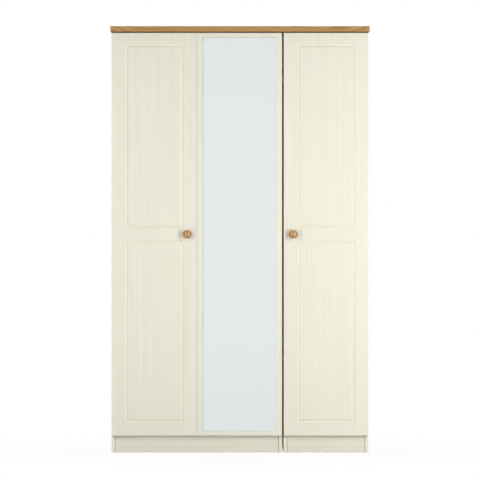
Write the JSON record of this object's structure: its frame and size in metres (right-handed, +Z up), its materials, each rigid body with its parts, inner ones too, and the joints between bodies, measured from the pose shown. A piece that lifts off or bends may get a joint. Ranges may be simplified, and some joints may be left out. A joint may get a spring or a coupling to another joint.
{
  "type": "wardrobe",
  "caption": "Wardrobe of a double and a single unit under one oak top, with hinged panelled doors, a mirror door, turned knobs, hat shelves and hanging rails.",
  "frame": {"origin": "on the floor, at the middle of the bounding box from side to side and from knob tips to back edge", "axes": "+Z up, doors face -Y, +X to the right for someone who faces the doors"},
  "size_m": [1.11, 0.5572, 1.825],
  "materials": {
    "cream_foil": "satin cream foil with a fine upright grain",
    "cream_board": "satin cream faced board",
    "oak": "satin oak with a lengthwise grain",
    "lacquered_wood": "glossy lacquered turned wood",
    "mirror": "polished silvered glass",
    "hardboard": "thin painted hardboard",
    "chrome": "polished chrome plate",
    "hinge_steel": "nickel plated pressed steel",
    "screw_steel": "zinc plated steel",
    "beech": "bare turned beech",
    "white_plastic": "matt moulded plastic",
    "foam_tape": "soft double-sided foam",
    "soft_buffer": "soft translucent rubber"
  },
  "bodies": {
    "carcass": {"double_base": "cream_board", "double_ceiling": "cream_board", "double_hat_shelf": "cream_board", "double_left_side": "cream_board", "double_right_side": "cream_board", "double_plinth": "cream_board", "double_rear_rail": "cream_board", "single_base": "cream_board", "single_ceiling": "cream_board", "single_hat_shelf": "cream_board", "single_left_side": "cream_board", "single_right_side": "cream_board", "single_plinth": "cream_board", "single_rear_rail": "cream_board", "oak_top": "oak", "double_back": "hardboard", "single_back": "hardboard", "double_hanging_rail": "chrome", "single_hanging_rail": "chrome", "left_hinge_arms": "hinge_steel", "left_hinge_plates": "hinge_steel", "mirror_hinge_arms": "hinge_steel", "mirror_hinge_plates": "hinge_steel", "right_hinge_arms": "hinge_steel", "right_hinge_plates": "hinge_steel", "wall_brackets": "hinge_steel", "hinge_arm_screws": "screw_steel", "hinge_plate_screws": "screw_steel", "rail_socket_screws": "screw_steel", "top_fixing_screws": "screw_steel", "unit_connectors": "screw_steel", "wall_bracket_screws": "screw_steel", "cam_bolts": "screw_steel", "cam_locks": "screw_steel", "plinth_dowels": "beech", "rail_sockets": "white_plastic", "unit_spacers": "white_plastic", "door_buffers": "soft_buffer"},
    "left_door": {"left_door": "cream_foil", "left_knob": "lacquered_wood", "left_knob_bolt": "screw_steel", "left_hinge_cups": "hinge_steel", "left_hinge_pins": "hinge_steel", "left_cup_screws": "screw_steel"},
    "mirror_door": {"mirror_door": "cream_foil", "mirror_glass": "mirror", "mirror_tape": "foam_tape", "mirror_hinge_cups": "hinge_steel", "mirror_hinge_pins": "hinge_steel", "mirror_cup_screws": "screw_steel"},
    "right_door": {"right_door": "cream_foil", "right_knob": "lacquered_wood", "right_knob_bolt": "screw_steel", "right_hinge_cups": "hinge_steel", "right_hinge_pins": "hinge_steel", "right_cup_screws": "screw_steel"}
  },
  "joints": [
    {"name": "left_door_hinge", "type": "hinge", "parent": "carcass", "child": "left_door", "pos_m": [-0.54125, -0.23383, 0.935], "axis": [0, 0, -1], "range_deg": [0, 95]},
    {"name": "mirror_door_hinge", "type": "hinge", "parent": "carcass", "child": "mirror_door", "pos_m": [0.17225, -0.23383, 0.935], "axis": [0, 0, 1], "range_deg": [0, 95]},
    {"name": "right_door_hinge", "type": "hinge", "parent": "carcass", "child": "right_door", "pos_m": [0.54125, -0.23383, 0.935], "axis": [0, 0, 1], "range_deg": [0, 95]}
  ]
}
